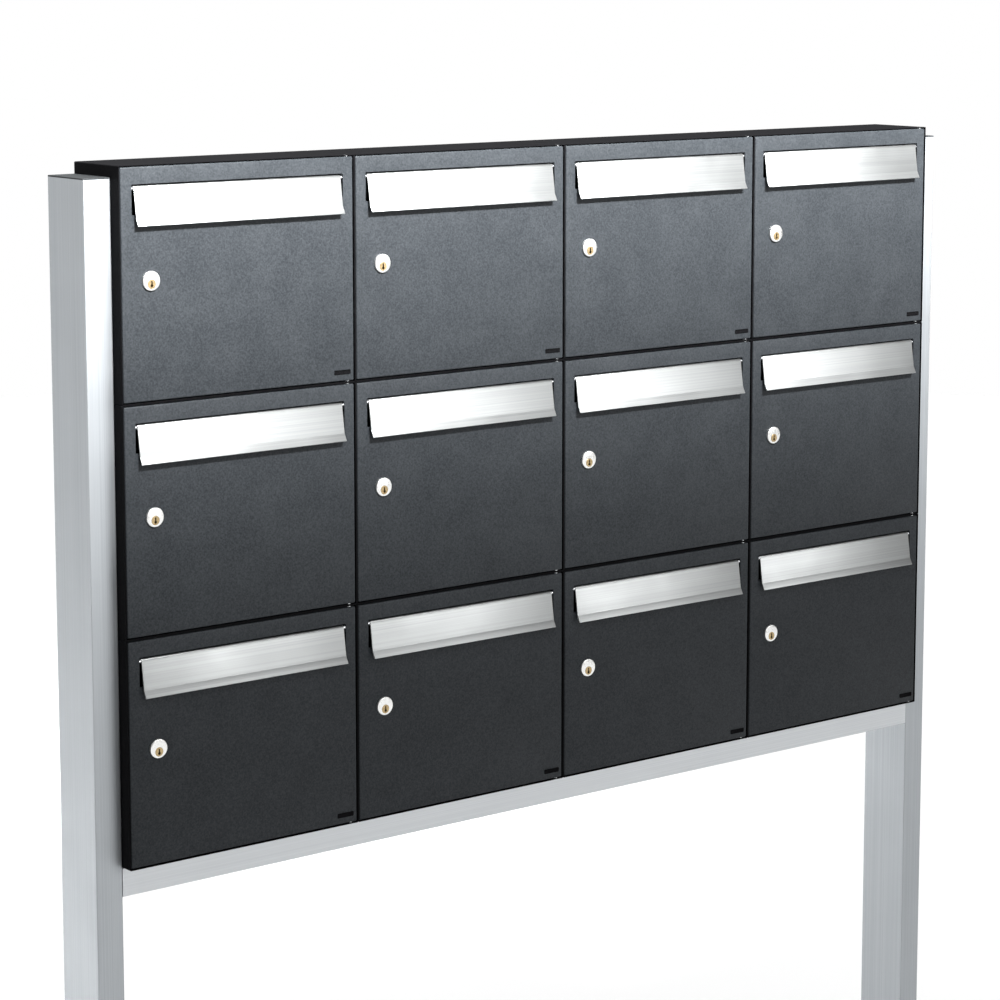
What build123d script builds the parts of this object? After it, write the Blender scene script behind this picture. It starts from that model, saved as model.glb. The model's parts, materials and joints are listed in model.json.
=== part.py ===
from build123d import *
import math
import os

# Cluster mailbox unit: twelve letter boxes, four across and three high, each with
# a right-hung door, an upward-opening mail flap and a cam lock, held between two
# posts and carried by a rail.
#
# Millimetres. +X runs to the right seen from the front, the doors face -Y and +Z is
# up. The origin is on the floor, midway between the posts. Row 1 is the top row and
# column 1 the left one. Pieces of a letter box are drawn in the module's own frame:
# x = 0 at its middle, y = 0 at the face of its door, z = 0 at its underside.

os.makedirs("parts", exist_ok=True)

# ---------------------------------------------------------------- driving dimensions

# cluster
columns = 4
rows = 3
module_width = 370.0
module_height = 310.0
casing_depth = 110.0
cluster_base = 700.0        # underside of the lowest boxes above the floor

# casings
casing_sheet = 1.0
casing_space = 0.2          # air between neighbouring casings
casing_fold = 1.5           # outer radius of the folded edges
catch_sheet = 1.5
catch_height = 60.0
catch_leg = 14.0            # leg of the catch angle that lies on the side wall
catch_reach = 22.0          # tongue of the catch, past the door's free edge
catch_clearance = 1.6       # door flange to catch

# doors
door_sheet = 1.2
door_gap = 1.4              # door edge to casing wall
door_flange = 14.0          # depth of the door tray
door_fold = 2.0             # outer radius of the door's folds
hinge_inset = 8.5           # hinge axis in from the door's right edge
hinge_depth = 5.5           # hinge axis behind the door's face

# mail slot in the door
slot_width = 332.0
slot_height = 40.0
slot_top = 22.5             # slot's upper edge below the door's top
slot_corner = 1.5
slot_lip = 6.0              # safety fold behind the lower edge
ear_depth = 9.0             # ears that carry the flap rod
ear_height = 13.0

# mail flap
flap_width = 325.0
flap_sheet = 2.0
flap_bead = 3.2             # radius of the bead that holds the rod
flap_face = 41.5            # height of the flat face, bead included
flap_lean = 5.3             # how far the face leans out at its foot
lip_drop = 10.0
lip_out = 5.1
flap_edge = 0.8             # rounding of the lip's edge
flap_clearance = 2.0        # bead to the slot's upper edge
stop_width = 20.0           # pads on the back that rest against the door
stop_height = 1.6
stop_inset = 30.0
stop_gap = 0.3
rod_radius = 1.5
rod_shoulder = 2.5          # radius of the spacer beside the flap
rod_end = 1.5               # rod past each ear
rod_press = 0.02
running = 0.05              # radial clearance of every turning fit

# hinge pins
pin_radius = 2.0
pin_collar = 3.5
pin_reach = 5.0             # pin past the collar, into the door
pin_gap = 0.1               # collar to door

# cam lock
lock_inset = 43.0           # lock centre in from the door's left edge
lock_drop = 148.0           # lock centre below the door's top
rosette_radius = 13.0
rosette_height = 3.0
rosette_edge = 1.0
barrel_radius = 11.0
barrel_flat_cut = 1.0       # flats in from the barrel's round
barrel_clearance = 0.1
barrel_wall = 0.6           # thinnest wall, under the plug
plug_radius = 6.2
plug_proud = 0.3
plug_shoulder = 0.2         # plug past the barrel
keyway_width = 1.3
keyway_height = 8.4
keyway_depth = 14.0
tail_size = 7.0
cam_thickness = 2.5
cam_clearance = 0.5         # catch to cam
cam_width = 15.0
cam_reach = 38.0
lock_nut_across = 27.0
lock_nut_height = 4.0
cam_screw_radius = 2.5
cam_screw_length = 9.0
cam_head_radius = 4.5
cam_head_height = 2.6

# posts
post_width = 40.0
post_depth = 90.0
post_wall = 3.0
post_corner = 1.5
post_setback = 20.0         # post front behind the door plane
post_drop = 16.0            # cap's top below the cluster's top
channel_radius = 5.5        # screw channels in the corners of the profile
channel_bore = 3.4
channel_inset = 7.5         # channel axis in from the outer faces
side_space = 0.2            # post to casing, and post to rail

# post caps
cap_thickness = 2.0
cap_edge = 0.6
cap_skirt = 12.0
cap_skirt_depth = 58.0
cap_skirt_wall = 2.0
cap_fit = 0.2

# rail
rail_height = 40.0
rail_wall = 3.0
rail_corner = 1.5
connector_length = 32.0
connector_fit = 0.2

# foot plates
foot_width = 120.0
foot_depth = 160.0
foot_thickness = 10.0
foot_corner = 8.0
anchor_radius = 5.5
anchor_spacing_x = 90.0
anchor_spacing_y = 130.0

# screws
joint_screw_radius = 2.5    # between casings, and casing to post and rail
joint_head_radius = 4.5
joint_head_height = 2.4
joint_nut_across = 8.0
joint_nut_height = 4.0
screw_hole_clearance = 0.15
screw_seat_depth = 60.0     # screw line behind the door plane
screw_inset_x = 75.0        # screws in from a module's borders
screw_inset_z = 60.0
rail_screw_radius = 4.0     # posts to connectors
rail_head_radius = 6.5
rail_head_height = 8.0
rail_nut_across = 13.0
rail_nut_height = 6.5
rail_screw_spread = 18.0
set_screw_radius = 3.0
set_screw_length = 12.0
set_screw_spread = 25.0
foot_screw_radius = 3.3
foot_screw_length = 45.0
foot_head_radius = 7.0
foot_head_height = 3.7

# ------------------------------------------------------------------ derived dimensions

cluster_width = columns * module_width
cluster_height = rows * module_height
cluster_top = cluster_base + cluster_height
door_plane = -post_depth / 2 - post_setback

casing_width = module_width - casing_space
casing_height = module_height - casing_space
casing_bottom = casing_space / 2
wall_inner_x = casing_width / 2 - casing_sheet
floor_inner_z = casing_bottom + casing_sheet
roof_inner_z = module_height - floor_inner_z

door_right = wall_inner_x - door_gap
door_bottom = floor_inner_z + door_gap
door_top = roof_inner_z - door_gap
door_width = 2 * door_right
door_height = door_top - door_bottom
hinge_x = door_right - hinge_inset

slot_roof = door_top - slot_top
slot_floor = slot_roof - slot_height
rod_y = flap_bead
rod_z = slot_roof - flap_clearance - flap_bead

lock_x = -door_right + lock_inset
lock_z = door_top - lock_drop
catch_front = door_flange + catch_clearance
plug_z = lock_z - (barrel_radius - plug_radius - barrel_wall)
plug_back = catch_front + catch_sheet + cam_clearance
barrel_length = plug_back - plug_shoulder
barrel_flats = 2 * (barrel_radius - barrel_flat_cut)

post_x = cluster_width / 2 + side_space / 2 + post_width / 2
post_base = foot_thickness
post_top = cluster_top - post_drop - cap_thickness
post_length = post_top - post_base
rail_length = cluster_width - side_space
rail_z = cluster_base - rail_height / 2
post_wall_outer = cluster_width / 2 + side_space / 2
post_wall_inner = post_wall_outer + post_wall
screw_y = door_plane + screw_seat_depth
screw_spread_x = module_width / 2 - screw_inset_x
screw_spread_z = module_height / 2 - screw_inset_z


def module_place(row, column):
    """Where a module's own frame stands; row and column count from 1."""
    x = (column - (columns + 1) / 2) * module_width
    z = cluster_base + (rows - row) * module_height
    return Location((x, door_plane, z))


def screw_rows(row):
    """Heights of the two side screws of a row's boxes."""
    middle = cluster_base + (rows - row + 0.5) * module_height
    return [middle - screw_spread_z, middle + screw_spread_z]


def screw_columns(column):
    """Places along X of the two floor screws of a column's boxes."""
    middle = (column - (columns + 1) / 2) * module_width
    return [middle - screw_spread_x, middle + screw_spread_x]


def module_tag(row, column):
    return f"r{row}c{column}"


# --------------------------------------------------------------------------- casings

def make_casing(screwed_roof):
    """Folded steel box, open to the front, with the catch angle for the cam."""
    hole_radius = joint_screw_radius + screw_hole_clearance
    middle_z = module_height / 2
    with BuildPart() as casing:
        with BuildSketch(Plane.XZ.offset(-casing_depth)):
            with Locations((0, middle_z)):
                RectangleRounded(casing_width, casing_height, casing_fold)
        extrude(amount=casing_depth)
        with BuildSketch(Plane.XZ.offset(-(casing_depth - casing_sheet))):
            with Locations((0, middle_z)):
                RectangleRounded(
                    casing_width - 2 * casing_sheet,
                    casing_height - 2 * casing_sheet,
                    casing_fold - casing_sheet,
                )
        extrude(amount=casing_depth, mode=Mode.SUBTRACT)
        # catch angle: a leg on the left wall and a tongue behind the door
        with BuildSketch(Plane.XY.offset(plug_z - catch_height / 2)):
            with BuildLine():
                wall = -wall_inner_x
                tongue = -door_right + catch_reach
                Polyline(
                    (wall - casing_sheet / 2, catch_front),
                    (tongue, catch_front),
                    (tongue, catch_front + catch_sheet),
                    (wall + catch_sheet, catch_front + catch_sheet),
                    (wall + catch_sheet, catch_front + catch_leg),
                    (wall - casing_sheet / 2, catch_front + catch_leg),
                    close=True,
                )
            make_face()
        extrude(amount=catch_height)
        # holes of the hinge pins, through floor and roof
        with BuildSketch(Plane.XY):
            with Locations((hinge_x, hinge_depth)):
                Circle(pin_radius + rod_press)
        extrude(amount=module_height, mode=Mode.SUBTRACT)
        # screw holes in both side walls
        with BuildSketch(Plane.YZ.offset(-module_width / 2)):
            with Locations(
                (screw_seat_depth, middle_z - screw_spread_z),
                (screw_seat_depth, middle_z + screw_spread_z),
            ):
                Circle(hole_radius)
        extrude(amount=module_width, mode=Mode.SUBTRACT)
        # screw holes in the floor, and in the roof where another box stands on it
        cut_height = module_height if screwed_roof else floor_inner_z
        with BuildSketch(Plane.XY):
            with Locations((-screw_spread_x, screw_seat_depth), (screw_spread_x, screw_seat_depth)):
                Circle(hole_radius)
        extrude(amount=cut_height, mode=Mode.SUBTRACT)
    return casing.part


# ----------------------------------------------------------------------------- doors

def make_door():
    """Sheet steel door tray with the mail slot, the rod's ears and the lock hole."""
    middle_z = (door_top + door_bottom) / 2
    with BuildPart() as door:
        with BuildSketch(Plane.XZ.offset(-door_flange)):
            with Locations((0, middle_z)):
                RectangleRounded(door_width, door_height, door_fold)
        extrude(amount=door_flange)
        fillet(door.faces().sort_by(Axis.Y)[0].edges(), door_fold)
        with BuildSketch(Plane.XZ.offset(-door_flange)):
            with Locations((0, middle_z)):
                RectangleRounded(
                    door_width - 2 * door_sheet,
                    door_height - 2 * door_sheet,
                    door_fold - door_sheet,
                )
        extrude(amount=door_flange - door_sheet, mode=Mode.SUBTRACT)
        # safety fold under the slot
        with BuildSketch(Plane.XY.offset(slot_floor - door_sheet)):
            with Locations((0, slot_lip / 2)):
                Rectangle(slot_width, slot_lip)
        extrude(amount=door_sheet)
        # ears either side of the slot
        for side in (-1, 1):
            with BuildSketch(Plane.XY.offset(rod_z - ear_height / 2)):
                with Locations((side * (slot_width + door_sheet) / 2, ear_depth / 2)):
                    Rectangle(door_sheet, ear_depth)
            extrude(amount=ear_height)
        # mail slot
        with BuildSketch(Plane.XZ.offset(-door_sheet)):
            with Locations((0, (slot_roof + slot_floor) / 2)):
                RectangleRounded(slot_width, slot_height, slot_corner)
        extrude(amount=door_sheet, mode=Mode.SUBTRACT)
        # rod holes in the ears
        with BuildSketch(Plane.YZ.offset(-door_width / 2 + door_sheet)):
            with Locations((rod_y, rod_z)):
                Circle(rod_radius + running)
        extrude(amount=door_width - 2 * door_sheet, mode=Mode.SUBTRACT)
        # flat-sided lock hole
        with BuildSketch(Plane.XZ.offset(-door_sheet)):
            with Locations((lock_x, lock_z)):
                Circle(barrel_radius + barrel_clearance)
                Rectangle(
                    barrel_flats + 2 * barrel_clearance,
                    2 * rosette_radius,
                    mode=Mode.INTERSECT,
                )
        extrude(amount=door_sheet, mode=Mode.SUBTRACT)
        # pin holes in the top and bottom flanges
        with BuildSketch(Plane.XY):
            with Locations((hinge_x, hinge_depth)):
                Circle(pin_radius + running)
        extrude(amount=module_height, mode=Mode.SUBTRACT)
    return door.part


# ------------------------------------------------------------------------ mail flaps

def parallel_line(points, distance):
    """The corner points of a line that runs beside the given one."""
    unit = []
    for (ax, ay), (bx, by) in zip(points, points[1:]):
        length = math.hypot(bx - ax, by - ay)
        unit.append(((bx - ax) / length, (by - ay) / length))
    normals = [(-dy, dx) for dx, dy in unit]
    beside = []
    for index, (x, y) in enumerate(points):
        before = normals[max(index - 1, 0)]
        after = normals[min(index, len(normals) - 1)]
        blend = 1 + before[0] * after[0] + before[1] * after[1]
        shift = distance / blend
        beside.append((x + shift * (before[0] + after[0]), y + shift * (before[1] + after[1])))
    return beside


def flap_outline():
    """Outer face of the flap in the YZ plane, from the bead to the lip's edge."""
    kink_z = rod_z + flap_bead - flap_face
    return [
        (rod_y - flap_bead, rod_z),
        (-flap_lean, kink_z),
        (-flap_lean - lip_out, kink_z - lip_drop),
    ]


def make_flap():
    """Extruded aluminium mail flap: bead, leaning face and finger lip."""
    outer = flap_outline()
    inner = parallel_line(outer, flap_sheet)
    kink_y, kink_z = outer[1]
    with BuildPart() as flap:
        with BuildSketch(Plane.YZ.offset(-flap_width / 2)):
            with BuildLine():
                Polyline(*outer, *reversed(inner), close=True)
            make_face()
            fillet(vertices().group_by(Axis.Z)[0], flap_edge)
            with Locations((rod_y, rod_z)):
                Circle(flap_bead)
                Circle(rod_radius + rod_press, mode=Mode.SUBTRACT)
        extrude(amount=flap_width)
        # pads on the back that come to rest against the door under the slot
        pad_top = slot_floor - stop_height / 2
        for side in (-1, 1):
            pad_x = side * (flap_width / 2 - stop_inset)
            with BuildSketch(Plane.XY.offset(pad_top - stop_height)):
                with Locations((pad_x, (kink_y + flap_sheet / 2 - stop_gap) / 2)):
                    Rectangle(stop_width, -(kink_y + flap_sheet / 2) - stop_gap)
            extrude(amount=stop_height)
    return flap.part


def make_flap_rod():
    """Steel rod through the flap's bead, with a spacer at each end."""
    rod_half = slot_width / 2 + door_sheet + rod_end
    spacer_start = flap_width / 2 + running
    spacer_end = slot_width / 2 - running
    with BuildPart() as rod:
        with BuildSketch(Plane.YZ.offset(-rod_half)):
            with Locations((rod_y, rod_z)):
                Circle(rod_radius)
        extrude(amount=2 * rod_half)
        for start in (spacer_start, -spacer_end):
            with BuildSketch(Plane.YZ.offset(start)):
                with Locations((rod_y, rod_z)):
                    Circle(rod_shoulder)
            extrude(amount=spacer_end - spacer_start)
    return rod.part


# ------------------------------------------------------------------------- cam locks

def make_lock_housing():
    """Round rosette with the flat-sided barrel behind it and the plug's bore."""
    with BuildPart() as housing:
        with BuildSketch(Plane.XZ):
            with Locations((lock_x, lock_z)):
                Circle(rosette_radius)
        extrude(amount=rosette_height)
        fillet(housing.faces().sort_by(Axis.Y)[0].edges(), rosette_edge)
        with BuildSketch(Plane.XZ.offset(-barrel_length)):
            with Locations((lock_x, lock_z)):
                Circle(barrel_radius)
                Rectangle(barrel_flats, 2 * rosette_radius, mode=Mode.INTERSECT)
        extrude(amount=barrel_length)
        with BuildSketch(Plane.XZ.offset(-barrel_length)):
            with Locations((lock_x, plug_z)):
                Circle(plug_radius + running)
        extrude(amount=barrel_length + rosette_height, mode=Mode.SUBTRACT)
    return housing.part


def make_lock_nut():
    """Hexagon nut that clamps the barrel behind the door's sheet."""
    with BuildPart() as nut:
        with BuildSketch(Plane.XZ.offset(-door_sheet - lock_nut_height)):
            with Locations((lock_x, lock_z)):
                RegularPolygon(lock_nut_across / 2, 6, major_radius=False)
                Circle(barrel_radius + running, mode=Mode.SUBTRACT)
        extrude(amount=lock_nut_height)
    return nut.part


def make_lock_plug():
    """Turning plug with the keyway in front and a square tail for the cam."""
    front = rosette_height + plug_proud
    tail_end = plug_back + cam_thickness - plug_shoulder
    with BuildPart() as plug:
        with BuildSketch(Plane.XZ.offset(-plug_back)):
            with Locations((lock_x, plug_z)):
                Circle(plug_radius)
        extrude(amount=plug_back + front)
        chamfer(plug.faces().sort_by(Axis.Y)[0].edges(), plug_proud)
        with BuildSketch(Plane.XZ.offset(-tail_end)):
            with Locations((lock_x, plug_z)):
                Rectangle(tail_size, tail_size)
        extrude(amount=tail_end - plug_back)
        # bore for the cam screw
        with BuildSketch(Plane.XZ.offset(-tail_end)):
            with Locations((lock_x, plug_z)):
                Circle(cam_screw_radius + rod_press)
        extrude(amount=cam_screw_length - cam_thickness, mode=Mode.SUBTRACT)
        # keyway
        with BuildSketch(Plane.XZ.offset(front)):
            with Locations((lock_x, plug_z)):
                SlotOverall(keyway_height, keyway_width, rotation=90)
        extrude(amount=-keyway_depth, mode=Mode.SUBTRACT)
    return plug.part


def make_lock_cam():
    """Steel cam that hangs down when unlocked and turns behind the catch."""
    with BuildPart() as cam:
        with BuildSketch(Plane.XZ.offset(-plug_back - cam_thickness)):
            with Locations((lock_x, plug_z)):
                Circle(cam_width / 2)
            with Locations((lock_x, plug_z - cam_reach / 2)):
                Rectangle(cam_width, cam_reach)
            fillet(vertices().group_by(Axis.Y)[0], cam_width / 4)
            with Locations((lock_x, plug_z)):
                Rectangle(tail_size + 2 * running, tail_size + 2 * running, mode=Mode.SUBTRACT)
        extrude(amount=cam_thickness)
    return cam.part


def make_cam_screw():
    """Pan-head screw that holds the cam on the plug's tail."""
    seat = plug_back + cam_thickness
    with BuildPart() as screw:
        with BuildSketch(Plane.XZ.offset(-seat - cam_head_height)):
            with Locations((lock_x, plug_z)):
                Circle(cam_head_radius)
        extrude(amount=cam_head_height)
        fillet(screw.faces().sort_by(Axis.Y)[-1].edges(), cam_head_height / 3)
        with BuildSketch(Plane.XZ.offset(-seat)):
            with Locations((lock_x, plug_z)):
                Circle(cam_screw_radius)
        extrude(amount=cam_screw_length - cam_thickness - running)
    return screw.part


# ------------------------------------------------------------------------ hinge pins

def make_hinge_pin(at_roof):
    """Collared pin riveted into a casing's roof or floor."""
    wall_outer = module_height - casing_bottom if at_roof else casing_bottom
    inward = -1 if at_roof else 1
    with BuildPart() as pin:
        with BuildSketch(Plane.XY.offset(wall_outer)):
            with Locations((hinge_x, hinge_depth)):
                Circle(pin_radius)
        extrude(amount=inward * (casing_sheet + door_gap - pin_gap + pin_reach))
        with BuildSketch(Plane.XY.offset(wall_outer + inward * casing_sheet)):
            with Locations((hinge_x, hinge_depth)):
                Circle(pin_collar)
        extrude(amount=inward * (door_gap - pin_gap))
    return pin.part


# ------------------------------------------------------------- posts, caps and plates

def channel_places(x):
    """The four screw channels of a post that stands at x."""
    spread_x = post_width / 2 - channel_inset
    spread_y = post_depth / 2 - channel_inset
    return [(x + i * spread_x, j * spread_y) for i in (-1, 1) for j in (-1, 1)]


def make_post(side):
    """Hollow aluminium post profile with screw channels in its corners."""
    x = side * post_x
    inner_wall = side * post_wall_outer
    with BuildPart() as post:
        with BuildSketch(Plane.XY.offset(post_base)):
            with Locations((x, 0)):
                RectangleRounded(post_width, post_depth, post_corner)
                Rectangle(
                    post_width - 2 * post_wall,
                    post_depth - 2 * post_wall,
                    mode=Mode.SUBTRACT,
                )
            with Locations(*channel_places(x)):
                Circle(channel_radius)
                Circle(channel_bore, mode=Mode.SUBTRACT)
        extrude(amount=post_length)
        # holes towards the casings
        heights = [z for row in range(1, rows + 1) for z in screw_rows(row)]
        with BuildSketch(Plane.YZ.offset(inner_wall)):
            with Locations(*[(screw_y, z) for z in heights]):
                Circle(joint_screw_radius + screw_hole_clearance)
            with Locations((-rail_screw_spread, rail_z), (rail_screw_spread, rail_z)):
                Circle(rail_screw_radius + screw_hole_clearance)
        extrude(amount=side * post_wall, mode=Mode.SUBTRACT)
    return post.part


def make_post_cap(side):
    """Plastic cap with a skirt that plugs into the post."""
    x = side * post_x
    skirt_width = post_width - 2 * post_wall - 2 * cap_fit
    with BuildPart() as cap:
        with BuildSketch(Plane.XY.offset(post_top)):
            with Locations((x, 0)):
                RectangleRounded(post_width, post_depth, post_corner)
        extrude(amount=cap_thickness)
        fillet(cap.faces().sort_by(Axis.Z)[-1].edges(), cap_edge)
        with BuildSketch(Plane.XY.offset(post_top - cap_skirt)):
            with Locations((x, 0)):
                Rectangle(skirt_width, cap_skirt_depth)
                Rectangle(
                    skirt_width - 2 * cap_skirt_wall,
                    cap_skirt_depth - 2 * cap_skirt_wall,
                    mode=Mode.SUBTRACT,
                )
        extrude(amount=cap_skirt)
    return cap.part


def make_foot_plate(side):
    """Steel foot plate with four anchor holes and countersunk holes for the post."""
    x = side * post_x
    with BuildPart() as foot:
        with BuildSketch(Plane.XY):
            with Locations((x, 0)):
                RectangleRounded(foot_width, foot_depth, foot_corner)
                with GridLocations(anchor_spacing_x, anchor_spacing_y, 2, 2):
                    Circle(anchor_radius, mode=Mode.SUBTRACT)
            with Locations(*channel_places(x)):
                Circle(foot_screw_radius + screw_hole_clearance, mode=Mode.SUBTRACT)
        extrude(amount=foot_thickness)
        for place_x, place_y in channel_places(x):
            with BuildSketch(Plane.XY):
                with Locations((place_x, place_y)):
                    Circle(foot_head_radius + screw_hole_clearance)
            with BuildSketch(Plane.XY.offset(foot_head_height)):
                with Locations((place_x, place_y)):
                    Circle(foot_screw_radius + screw_hole_clearance)
            loft(mode=Mode.SUBTRACT)
    return foot.part


# ---------------------------------------------------------------- rail and connectors

def make_support_rail():
    """Hollow aluminium rail that the lowest boxes stand on."""
    screw_xs = [x for column in range(1, columns + 1) for x in screw_columns(column)]
    with BuildPart() as rail:
        with BuildSketch(Plane.YZ.offset(-rail_length / 2)):
            with Locations((0, rail_z)):
                RectangleRounded(post_depth, rail_height, rail_corner)
                Rectangle(
                    post_depth - 2 * rail_wall,
                    rail_height - 2 * rail_wall,
                    mode=Mode.SUBTRACT,
                )
        extrude(amount=rail_length)
        with BuildSketch(Plane.XY.offset(cluster_base - rail_wall)):
            with Locations(*[(x, screw_y) for x in screw_xs]):
                Circle(joint_screw_radius + screw_hole_clearance)
        extrude(amount=rail_wall, mode=Mode.SUBTRACT)
        with BuildSketch(Plane.XY.offset(cluster_base - rail_height)):
            with Locations(*[
                (side * (post_wall_outer - connector_length / 2), y)
                for side in (-1, 1)
                for y in (-set_screw_spread, set_screw_spread)
            ]):
                Circle(set_screw_radius + screw_hole_clearance)
        extrude(amount=rail_wall, mode=Mode.SUBTRACT)
    return rail.part


def make_rail_connector(side):
    """Block screwed to a post; the rail's end slides over it."""
    start = side * post_wall_outer
    height = rail_height - 2 * rail_wall - 2 * connector_fit
    depth = post_depth - 2 * rail_wall - 2 * connector_fit
    with BuildPart() as connector:
        with BuildSketch(Plane.YZ.offset(start)):
            with Locations((0, rail_z)):
                Rectangle(depth, height)
        extrude(amount=-side * connector_length)
        with BuildSketch(Plane.YZ.offset(start)):
            with Locations((-rail_screw_spread, rail_z), (rail_screw_spread, rail_z)):
                Circle(rail_screw_radius + screw_hole_clearance)
        extrude(amount=-side * connector_length, mode=Mode.SUBTRACT)
        with BuildSketch(Plane.YZ.offset(start - side * connector_length)):
            with Locations((-rail_screw_spread, rail_z), (rail_screw_spread, rail_z)):
                Circle(rail_head_radius + screw_hole_clearance)
        extrude(amount=side * rail_head_height, mode=Mode.SUBTRACT)
        with BuildSketch(Plane.XY.offset(rail_z - height / 2)):
            with Locations(
                (side * (post_wall_outer - connector_length / 2), -set_screw_spread),
                (side * (post_wall_outer - connector_length / 2), set_screw_spread),
            ):
                Circle(set_screw_radius + rod_press)
        extrude(amount=set_screw_length, mode=Mode.SUBTRACT)
    return connector.part


# ---------------------------------------------------------------------------- screws

def make_screw(seat, head_radius, head_height, radius, length):
    """Round-headed screw: its head stands on the seat plane, its shank goes below."""
    with BuildPart() as screw:
        with BuildSketch(seat):
            Circle(head_radius)
        extrude(amount=head_height)
        with BuildSketch(seat):
            Circle(radius)
        extrude(amount=-length)
    return screw.part


def make_nut(seat, across, height, radius):
    """Hexagon nut that stands on the seat plane."""
    with BuildPart() as nut:
        with BuildSketch(seat):
            RegularPolygon(across / 2, 6, major_radius=False)
            Circle(radius + running, mode=Mode.SUBTRACT)
        extrude(amount=height)
    return nut.part


def make_foot_screw(place_x, place_y):
    """Countersunk screw from under the foot plate into a post's channel."""
    with BuildPart() as screw:
        with BuildSketch(Plane.XY):
            with Locations((place_x, place_y)):
                Circle(foot_head_radius)
        with BuildSketch(Plane.XY.offset(foot_head_height)):
            with Locations((place_x, place_y)):
                Circle(foot_screw_radius)
        loft()
        with BuildSketch(Plane.XY.offset(foot_head_height)):
            with Locations((place_x, place_y)):
                Circle(foot_screw_radius)
        extrude(amount=foot_screw_length - foot_head_height)
    return screw.part


def joint_pair(origin, direction, grip):
    """Screw and nut through two sheets; direction points from the sheets to the head."""
    seat = Plane(origin=origin, z_dir=direction)
    far = Plane(origin=seat.origin - seat.z_dir * grip, z_dir=-seat.z_dir)
    length = grip + joint_nut_height
    screw = make_screw(seat, joint_head_radius, joint_head_height, joint_screw_radius, length)
    nut = make_nut(far, joint_nut_across, joint_nut_height, joint_screw_radius)
    return [screw, nut]


def make_casing_fasteners():
    """Screws that join the boxes to each other, to the posts and to the rail."""
    pieces = []
    two_sheets = 2 * casing_sheet + casing_space
    for row in range(1, rows + 1):
        for z in screw_rows(row):
            for border in range(1, columns):
                x = (border - columns / 2) * module_width
                head_x = x - casing_space / 2 - casing_sheet
                pieces += joint_pair((head_x, screw_y, z), (-1, 0, 0), two_sheets)
            for side in (-1, 1):
                head_x = side * (cluster_width / 2 - casing_space / 2 - casing_sheet)
                grip = post_wall_inner - abs(head_x)
                pieces += joint_pair((head_x, screw_y, z), (-side, 0, 0), grip)
    for column in range(1, columns + 1):
        for x in screw_columns(column):
            for border in range(1, rows):
                head_z = cluster_base + border * module_height + floor_inner_z
                pieces += joint_pair((x, screw_y, head_z), (0, 0, 1), two_sheets)
            head_z = cluster_base + floor_inner_z
            pieces += joint_pair((x, screw_y, head_z), (0, 0, 1), floor_inner_z + rail_wall)
    return pieces


def make_stand_fasteners():
    """Screws of the posts, the rail's connectors and the foot plates."""
    pieces = []
    bottom = cluster_base - rail_height + running
    for side in (-1, 1):
        head_x = side * (post_wall_outer - connector_length + rail_head_height)
        grip = post_wall_inner - abs(head_x)
        for y in (-rail_screw_spread, rail_screw_spread):
            seat = Plane(origin=(head_x, y, rail_z), z_dir=(-side, 0, 0))
            far = Plane(origin=(side * post_wall_inner, y, rail_z), z_dir=(side, 0, 0))
            pieces.append(make_screw(
                seat, rail_head_radius, rail_head_height, rail_screw_radius, grip + rail_nut_height,
            ))
            pieces.append(make_nut(far, rail_nut_across, rail_nut_height, rail_screw_radius))
        for y in (-set_screw_spread, set_screw_spread):
            set_x = side * (post_wall_outer - connector_length / 2)
            with BuildPart() as set_screw:
                with BuildSketch(Plane.XY.offset(bottom)):
                    with Locations((set_x, y)):
                        Circle(set_screw_radius)
                extrude(amount=set_screw_length)
            pieces.append(set_screw.part)
        for place_x, place_y in channel_places(side * post_x):
            pieces.append(make_foot_screw(place_x, place_y))
    return pieces


# ------------------------------------------------------------------------ the assembly

def write_node(name, pieces):
    """Write one node; several pieces stay separate solids in it."""
    node = pieces[0] if len(pieces) == 1 else Compound(children=pieces)
    node.label = name
    export_step(node, f"parts/{name}.step")


def export_boxes():
    """Casings by column, and each module's door, flap and lock."""
    casing_below = make_casing(screwed_roof=True)
    casing_top = make_casing(screwed_roof=False)
    for column in range(1, columns + 1):
        stack = [
            (casing_top if row == 1 else casing_below).moved(module_place(row, column))
            for row in range(1, rows + 1)
        ]
        write_node(f"casings_c{column}", stack)
    kinds = {
        "door": [make_door()],
        "flap": [make_flap(), make_flap_rod()],
        "lock_body": [make_lock_housing(), make_lock_nut()],
        "lock_core": [make_lock_plug(), make_lock_cam(), make_cam_screw()],
    }
    for row in range(1, rows + 1):
        for column in range(1, columns + 1):
            place = module_place(row, column)
            for kind, pieces in kinds.items():
                name = f"{kind}_{module_tag(row, column)}"
                write_node(name, [piece.moved(place) for piece in pieces])


def export_hinge_pins():
    """Two pins for every door."""
    pins = [make_hinge_pin(at_roof=False), make_hinge_pin(at_roof=True)]
    placed = [
        pin.moved(module_place(row, column))
        for row in range(1, rows + 1)
        for column in range(1, columns + 1)
        for pin in pins
    ]
    write_node("hinge_pins", placed)


def export_stand():
    """Posts, caps, foot plates, rail, connectors and every screw."""
    write_node("post_left", [make_post(-1)])
    write_node("post_right", [make_post(1)])
    write_node("post_caps", [make_post_cap(side) for side in (-1, 1)])
    write_node("foot_plates", [make_foot_plate(side) for side in (-1, 1)])
    write_node("support_rail", [make_support_rail()])
    write_node("rail_connectors", [make_rail_connector(side) for side in (-1, 1)])
    write_node("fasteners", make_casing_fasteners() + make_stand_fasteners())


export_boxes()
export_hinge_pins()
export_stand()
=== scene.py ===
# %% [markdown]
# # A cluster of letter boxes
#
# Twelve steel letter boxes stand in a block, four across and three high, between two
# aluminium posts. This lesson dresses a finished, jointed model of it. The sheet metal
# doors, the mail flaps and the locks are modelled here once, as on a bench, and copied
# to the other boxes. The casings, the posts and the rail already have their right shape
# and only get their finish.
#
# The first cell loads the jointed model as a fixed frame. Its bodies carry everything
# that moves, so each new piece will ride on one of them.

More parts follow.
